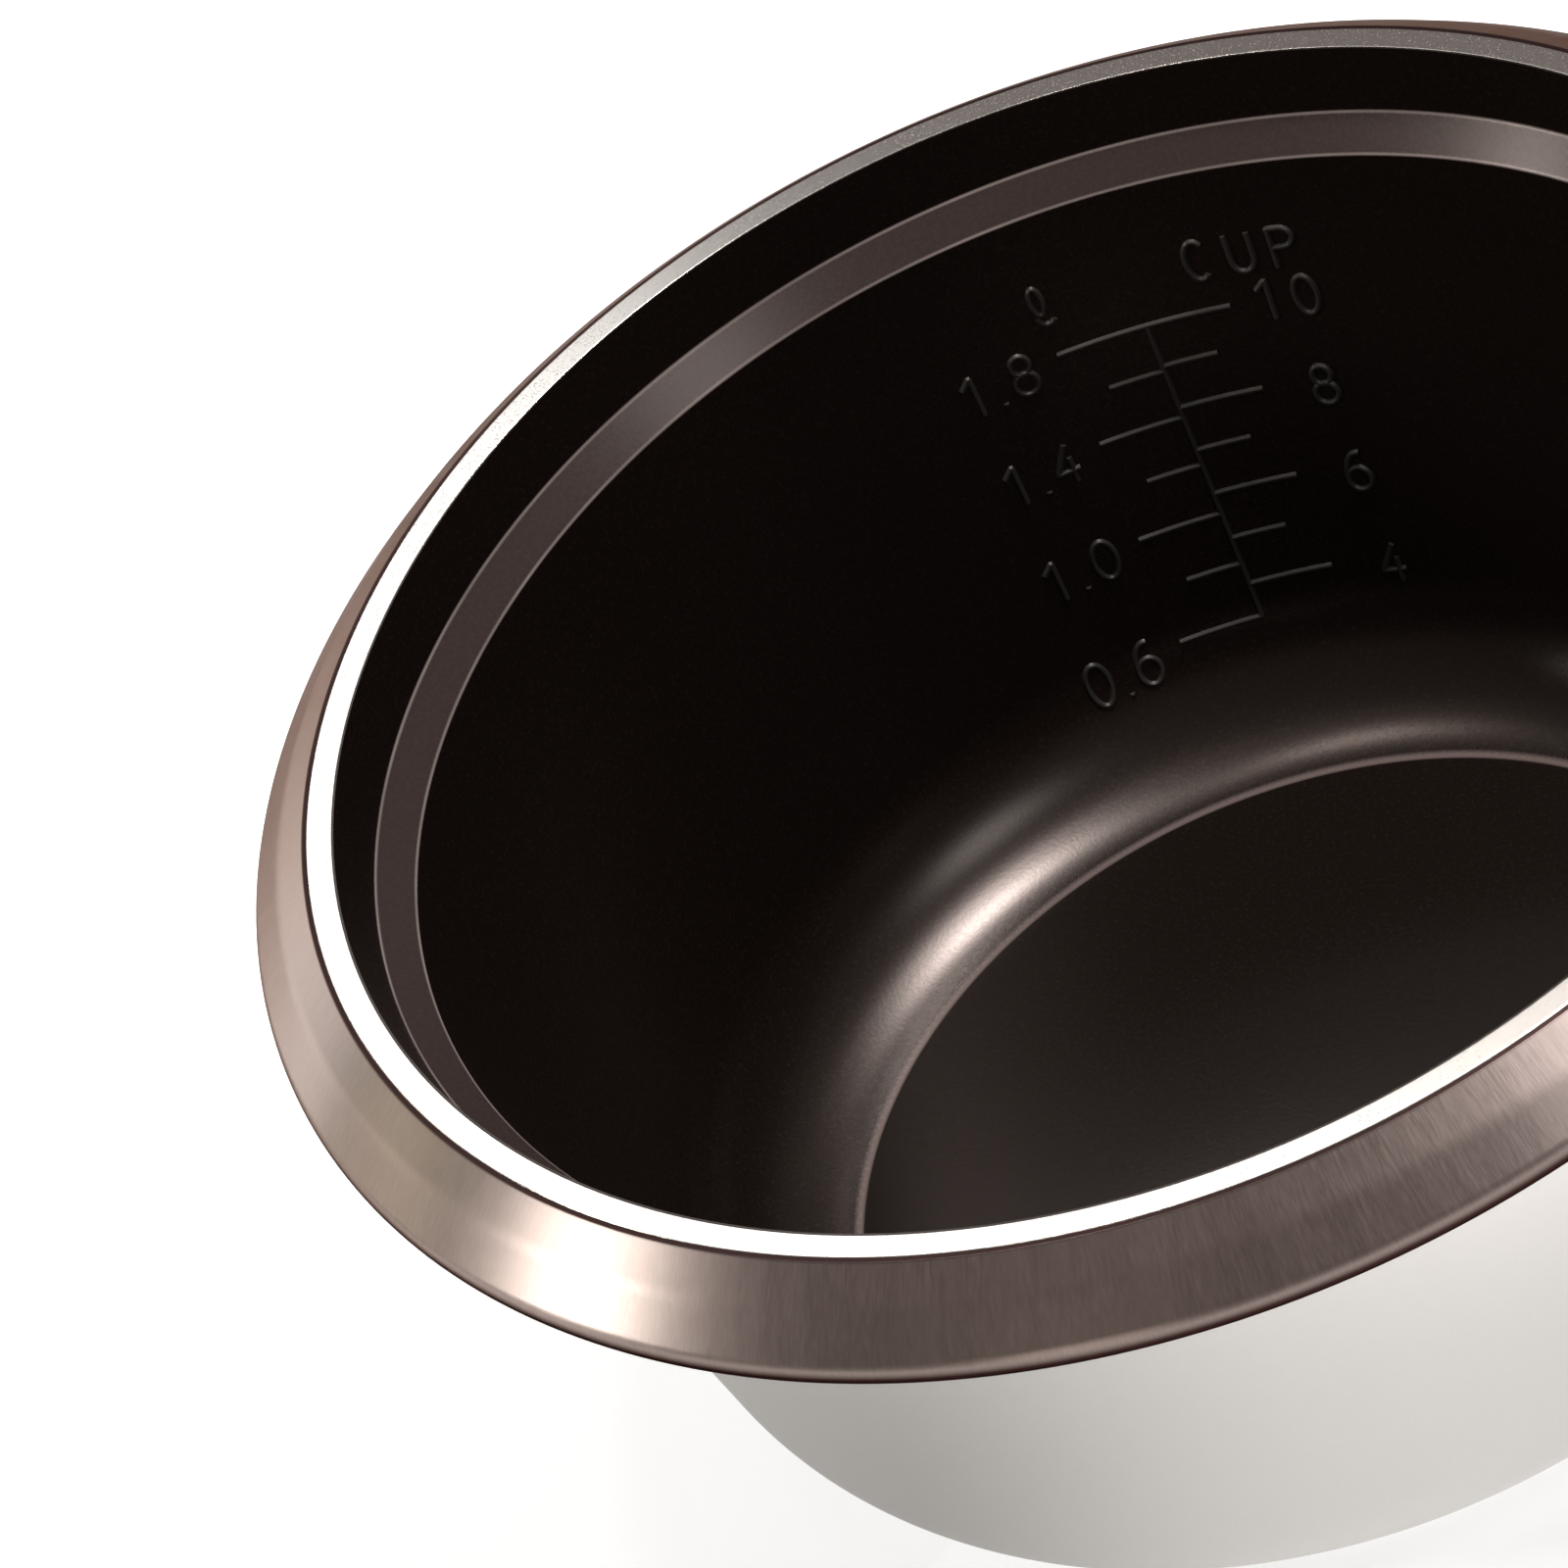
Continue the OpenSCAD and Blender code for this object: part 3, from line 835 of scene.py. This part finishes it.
def numeral(name, w, h):
    """The strokes of a numeral, letter or sign, as (points, closed)."""
    shapes = {
        "0": [ring(0, 0, w, h)],
        "1": [([(-w * 0.7, h * 0.55), (w * 0.2, h), (w * 0.2, -h)], False)],
        "4": [([(w * 0.4, h), (-w, -h * 0.4), (w, -h * 0.4)], False),
              ([(w * 0.4, h * 0.3), (w * 0.4, -h)], False)],
        "6": [ring(0, -h * 0.4, w, h * 0.6),
              (oval(w * 0.3, -h * 0.4, w * 1.3, h * 1.4, 175, 80), False)],
        "8": [ring(0, -h * 0.45, w, h * 0.55), ring(0, h * 0.52, w * 0.8, h * 0.48)],
        "point": [([(0, -h), (0, -h + 0.12 * w)], False)],
        "C": [(oval(0, 0, w, h, 50, 310), False)],
        "U": [([(-w, h)] + oval(0, -h * 0.35, w, h * 0.65, 180, 360) + [(w, h)], False)],
        "P": [([(-w, -h), (-w, h)] + oval(0, h * 0.5, w, h * 0.5, 90, -90) + [(-w, 0)], False)],
        "litre": [ring(0, h * 0.3, w * 0.5, h * 0.7),
                  (oval(w * 0.35, -h * 0.4, w * 0.8, h * 0.55, 190, 320), False)],
    }
    return shapes[name]


def spine_lines(marks):
    lowest = marks.litre_level(min(LITRE_VALUES))
    top = marks.scale.full_height
    marks.add([marks.on_wall(0, lowest + (top - lowest) * i / SPINE_STEPS, top)
               for i in range(SPINE_STEPS + 1)])


def full_mark_lines(marks):
    marks.mark(-marks.scale.full_left, marks.scale.full_right, marks.scale.full_height)


def litre_mark_lines(marks):
    for litres in LITRE_VALUES:
        marks.mark(-marks.scale.long_mark, 0, marks.litre_level(litres))
    for litres in LITRE_SHORT_VALUES:
        marks.mark(-marks.scale.short_mark, 0, marks.litre_level(litres))


def cup_mark_lines(marks):
    for cups in CUP_VALUES:
        marks.mark(0, marks.scale.long_mark, marks.level(cups))
    for cups in CUP_SHORT_VALUES:
        marks.mark(0, marks.scale.short_mark, marks.level(cups))


def litre_number_lines(marks):
    s = marks.scale
    rows = [("1", "8", s.full_left, s.full_height)]
    rows += [(digits[0], digits[1], s.long_mark, marks.litre_level(litres))
             for digits, litres in zip(("06", "10", "14"), LITRE_VALUES)]
    pitch = s.numeral_width + s.point_gap
    for first, second, mark_length, z in rows:
        last = -mark_length - s.number_gap - s.numeral_width / 2
        for name, place in ((first, last - pitch), ("point", last - pitch / 2), (second, last)):
            marks.sign(place, z - s.number_drop, name)


def cup_number_lines(marks):
    s = marks.scale
    one_place = s.full_right + s.number_gap + s.numeral_width / 2
    marks.sign(one_place, s.full_height, "1")
    marks.sign(one_place + s.numeral_width + s.digit_gap, s.full_height, "0")
    for cups in CUP_VALUES:
        marks.sign(s.cup_column, marks.level(cups) - s.number_drop, str(cups))


def litre_sign_lines(marks):
    s = marks.scale
    marks.sign(-s.full_left, s.full_height + s.sign_rise, "litre")


def cup_word_lines(marks):
    s = marks.scale
    for i, letter in enumerate("CUP"):
        marks.sign(s.word_place + i * (s.numeral_width + s.letter_gap),
                   s.full_height + s.sign_rise, letter)


def raised_piece(context, name, draw):
    """One node's marks, drawn on the wall as ridges."""
    settings = context.scene
    scale = settings.scale_sizes
    marks = LevelScale(PotProfile(settings.pot_sizes), scale)
    draw(marks)
    tree = bpy.data.node_groups.get("raised_line") or raised_tree()
    material = bpy.data.materials.get("nonstick_relief") or relief_finish(settings.pot_finishes)
    piece = finished("raised_" + name, marks.points, marks.edges, tree,
                     {"Stroke": scale.stroke, "Height": scale.relief, "Draft": scale.draft,
                      "Step": scale.stroke / 5, "Material": material})
    keep(piece, "nonstick_relief", name)


# ---------------------------------------------------------------- operators

class BuildLining(bpy.types.Operator):
    """Build the dark cooking face with its lid seat and floor crease"""
    bl_idname = "pot.lining"
    bl_label = "Non-stick Lining"

    def execute(self, context):
        turned_piece(context, "cooking_face", lining_profile, lining_finish,
                     "nonstick", "nonstick_lining")
        return {"FINISHED"}


class BuildCore(bpy.types.Operator):
    """Build the aluminium body with the bare land on its rim"""
    bl_idname = "pot.core"
    bl_label = "Aluminium Body and Rim"

    def execute(self, context):
        turned_piece(context, "rim_and_core", core_profile, land_finish,
                     "machined_aluminium", "core_shell")
        return {"FINISHED"}


class BuildSkin(bpy.types.Operator):
    """Build the satin steel outside and base"""
    bl_idname = "pot.skin"
    bl_label = "Steel Skin"

    def execute(self, context):
        turned_piece(context, "outer_skin", skin_profile, skin_finish,
                     "satin_steel", "steel_skin")
        return {"FINISHED"}


class BuildBand(bpy.types.Operator):
    """Build the bronze skirt band with its hem"""
    bl_idname = "pot.band"
    bl_label = "Skirt Band"

    def execute(self, context):
        turned_piece(context, "bronze_skirt", band_profile, band_finish,
                     "bronze_band", "skirt_band", closed=True)
        return {"FINISHED"}


class BuildMarks(bpy.types.Operator):
    """Build the raised spine and the level marks of the scale"""
    bl_idname = "pot.marks"
    bl_label = "Level Marks"

    def execute(self, context):
        raised_piece(context, "scale_spine", spine_lines)
        raised_piece(context, "full_mark", full_mark_lines)
        raised_piece(context, "litre_marks", litre_mark_lines)
        raised_piece(context, "cup_marks", cup_mark_lines)
        return {"FINISHED"}


class BuildNumbers(bpy.types.Operator):
    """Build the raised numbers and signs of the scale"""
    bl_idname = "pot.numbers"
    bl_label = "Level Numbers"

    def execute(self, context):
        raised_piece(context, "litre_numbers", litre_number_lines)
        raised_piece(context, "cup_numbers", cup_number_lines)
        raised_piece(context, "litre_sign", litre_sign_lines)
        raised_piece(context, "cup_word", cup_word_lines)
        return {"FINISHED"}


# ---------------------------------------------------------------- stage

CAMERA_TURN = 17.4
CAMERA_RISE = 40.62
CAMERA_ROLL = -27.0
CAMERA_DISTANCE = 1.44
CAMERA_LENS = 224.235
SENSOR = 36.0
PICTURE = 1600
RIM_CENTRE_PIXEL = (1111, 624)
LIGHT_DISTANCE = 1.6
FLOOR_HALF = 6.0
FLOOR_GLOW = 0.6
# A dim ring of painted shadow on the floor round the pot's foot, seen only in reflections.
SHADOW_CARD_STEPS = 96
SHADOW_CARD_NEAR = 0.085
SHADOW_CARD_FAR = 0.45
SHADOW_CARD_HEIGHT = 0.3 * MM
SHADOW_CARD_DEPTH = 0.58  # how opaque the card is where it isn't clear
ROOM = (0.135, 0.115, 0.108, 1)
WHITE = (1, 1, 1, 1)

# name, shape, turn from the front (to the right is positive) and rise in degrees,
# width and height in metres, brightness, colour
SOFTBOXES = [
    ("back_octabox", "RECTANGLE", -152, 46, 0.44, 0.68, 1.9, (1, 1, 1)),
    ("crease_box", "RECTANGLE", -178, 51, 0.56, 0.15, 3.6, (1, 0.95, 0.93)),
    ("top_strip", "RECTANGLE", 139, 71, 0.28, 0.24, 88, (1, 0.97, 0.95)),
    ("top_glow", "DISK", 114, 71, 0.50, 0.50, 6.0, (1, 0.93, 0.90)),
    ("top_small", "RECTANGLE", -131, 71, 0.17, 0.13, 29, (1, 0.92, 0.86)),
    ("left_softbox", "DISK", -81, 27, 0.38, 0.38, 20, (1, 0.99, 0.95)),
    ("left_fill", "RECTANGLE", -104, 14, 0.36, 0.26, 2.9, (1, 0.98, 0.78)),
    ("left_low", "RECTANGLE", -130, 4, 1.0, 0.36, 4.4, (0.93, 1, 1)),
    ("right_softbox", "DISK", 57, 48, 0.50, 0.50, 4.8, (0.98, 1, 1)),
    ("front_low", "RECTANGLE", -19, 12, 0.46, 0.07, 9.0, (1, 0.93, 0.84)),
]


def toward(turn, rise):
    """Direction from the pot at a turn from the front and a rise, in degrees."""
    turn, rise = math.radians(turn), math.radians(rise)
    flat = math.cos(rise)
    return Vector((math.sin(turn) * flat, -math.cos(turn) * flat, math.sin(rise)))


def add_camera(rim_centre):
    """The camera, set so that the middle of the rim falls on its pixel."""
    back = toward(CAMERA_TURN, CAMERA_RISE)
    turn = math.radians(CAMERA_TURN)
    level = Vector((math.cos(turn), math.sin(turn), 0))
    top = back.cross(level)
    roll = math.radians(CAMERA_ROLL)
    right = math.cos(roll) * level + math.sin(roll) * top
    up = -math.sin(roll) * level + math.cos(roll) * top
    focal = CAMERA_LENS / SENSOR * PICTURE
    across = (RIM_CENTRE_PIXEL[0] - PICTURE / 2) / focal * CAMERA_DISTANCE
    down = (RIM_CENTRE_PIXEL[1] - PICTURE / 2) / focal * CAMERA_DISTANCE
    place = rim_centre - across * right + down * up + CAMERA_DISTANCE * back
    lens = bpy.data.cameras.new("studio_camera")
    lens.sensor_width = SENSOR
    lens.lens = CAMERA_LENS
    lens.clip_start = 0.05
    camera = placed("studio_camera", lens)
    facing = Matrix((right, up, back)).transposed().to_4x4()
    camera.matrix_world = Matrix.Translation(place) @ facing
    bpy.context.scene.camera = camera


def add_softbox(name, shape, turn, rise, width, height, brightness, tone, target):
    """An area light of an even brightness, facing the pot."""
    way = toward(turn, rise)
    light = bpy.data.lights.new(name, "AREA")
    light.shape = shape
    light.size = width
    if shape == "RECTANGLE":
        light.size_y = height
    area = width * height * (math.pi / 4 if shape == "DISK" else 1)
    light.energy = brightness * math.pi * area
    light.color = tone
    lamp = placed(name, light)
    lamp.visible_camera = False
    lamp.location = target + LIGHT_DISTANCE * way
    lamp.rotation_euler = way.to_track_quat("Z", "Y").to_euler()


def add_floor():
    """A plain pale floor under the pot."""
    half = FLOOR_HALF
    mesh = bpy.data.meshes.new("floor")
    mesh.from_pydata([(-half, -half, 0), (half, -half, 0), (half, half, 0), (-half, half, 0)], [],
                     [(0, 1, 2, 3)])
    floor = placed("floor", mesh)
    finish = Finish("pale_floor", roughness=0.7)
    cloud = finish.noise(3, 2)
    finish.set("Base Color", finish.blend(cloud, (0.82, 0.82, 0.82, 1), (0.80, 0.80, 0.80, 1)))
    finish.set("Emission Color", WHITE)
    finish.set("Emission Strength", FLOOR_GLOW)
    mesh.materials.append(finish.material)


def add_card():
    """Painted shade: a dim ring that shows only in the pot's side, darkening the floor it reflects
    there as the pot's shadow would, and clear at the front right.
    """
    turns = [2 * math.pi * i / SHADOW_CARD_STEPS for i in range(SHADOW_CARD_STEPS)]
    points = [(radius * math.cos(turn), radius * math.sin(turn), SHADOW_CARD_HEIGHT)
              for turn in turns for radius in (SHADOW_CARD_NEAR, SHADOW_CARD_FAR)]
    count = len(points)
    mesh = bpy.data.meshes.new("painted_shadow_card")
    mesh.from_pydata(points, [], [(i, i + 1, (i + 3) % count, (i + 2) % count)
                                  for i in range(0, count, 2)])
    card = placed("painted_shadow_card", mesh)
    card.visible_camera = card.visible_shadow = False
    finish = Finish("painted_contact_shadow", roughness=0.9)
    # Painted shadow: the dim grey that the pot's side reflects near its foot.
    finish.set("Base Color", (0.2, 0.19, 0.185, 1))
    clear = toward(30, 0)
    forward = (finish.x * clear.x + finish.y * clear.y) / finish.radius
    finish.set("Alpha", SHADOW_CARD_DEPTH * (1 - forward.rise(0.2, 1.15)))
    mesh.materials.append(finish.material)


def add_world():
    """A room that looks pale and reflects dimly."""
    world = bpy.data.worlds.new("studio")
    world.use_nodes = True
    tree = world.node_tree
    tree.nodes.clear()
    seen = make(tree, "ShaderNodeLightPath")
    room = make(tree, "ShaderNodeBackground", None, {"Color": ROOM, "Strength": 1.0})
    pale = make(tree, "ShaderNodeBackground", None, {"Color": WHITE, "Strength": 1.0})
    mix = tree.nodes.new("ShaderNodeMixShader")
    plug(tree, mix.inputs[0], seen)
    plug(tree, mix.inputs[1], room)
    plug(tree, mix.inputs[2], pale)
    out = tree.nodes.new("ShaderNodeOutputWorld")
    tree.links.new(mix.outputs[0], out.inputs[0])
    bpy.context.scene.world = world


class BuildStage(bpy.types.Operator):
    """Build the floor, the soft lights and the camera"""
    bl_idname = "pot.stage"
    bl_label = "Stage"

    def execute(self, context):
        rim_centre = Vector((0, 0, context.scene.pot_sizes.height))
        context.scene.view_settings.view_transform = "Standard"
        add_floor()
        add_card()
        add_world()
        for softbox in SOFTBOXES:
            add_softbox(*softbox, rim_centre)
        add_camera(rim_centre)
        return {"FINISHED"}


OPERATORS = (BuildLining, BuildCore, BuildSkin, BuildBand, BuildMarks, BuildNumbers, BuildStage)


class PotPanel(bpy.types.Panel):
    """The pot's pieces and sizes in the sidebar"""
    bl_idname = "VIEW3D_PT_rice_pot"
    bl_label = "Rice Cooker Pot"
    bl_space_type = "VIEW_3D"
    bl_region_type = "UI"
    bl_category = "Pot"

    def draw(self, context):
        for operator in OPERATORS:
            self.layout.operator(operator.bl_idname)
        scene = context.scene
        for group in (scene.pot_sizes, scene.scale_sizes, scene.pot_finishes):
            for name in group.__annotations__:
                self.layout.prop(group, name)


CLASSES = (PotSizes, ScaleSizes, PotFinishes) + OPERATORS + (PotPanel,)


def register():
    for item in CLASSES:
        bpy.utils.register_class(item)
    bpy.types.Scene.pot_sizes = PointerProperty(type=PotSizes)
    bpy.types.Scene.scale_sizes = PointerProperty(type=ScaleSizes)
    bpy.types.Scene.pot_finishes = PointerProperty(type=PotFinishes)


def unregister():
    del bpy.types.Scene.pot_finishes
    del bpy.types.Scene.scale_sizes
    del bpy.types.Scene.pot_sizes
    for item in reversed(CLASSES):
        bpy.utils.unregister_class(item)


def main():
    register()
    bpy.ops.pot.lining()
    bpy.ops.pot.core()
    bpy.ops.pot.skin()
    bpy.ops.pot.band()
    bpy.ops.pot.marks()
    bpy.ops.pot.numbers()
    bpy.ops.pot.stage()


if __name__ == "__main__":
    main()
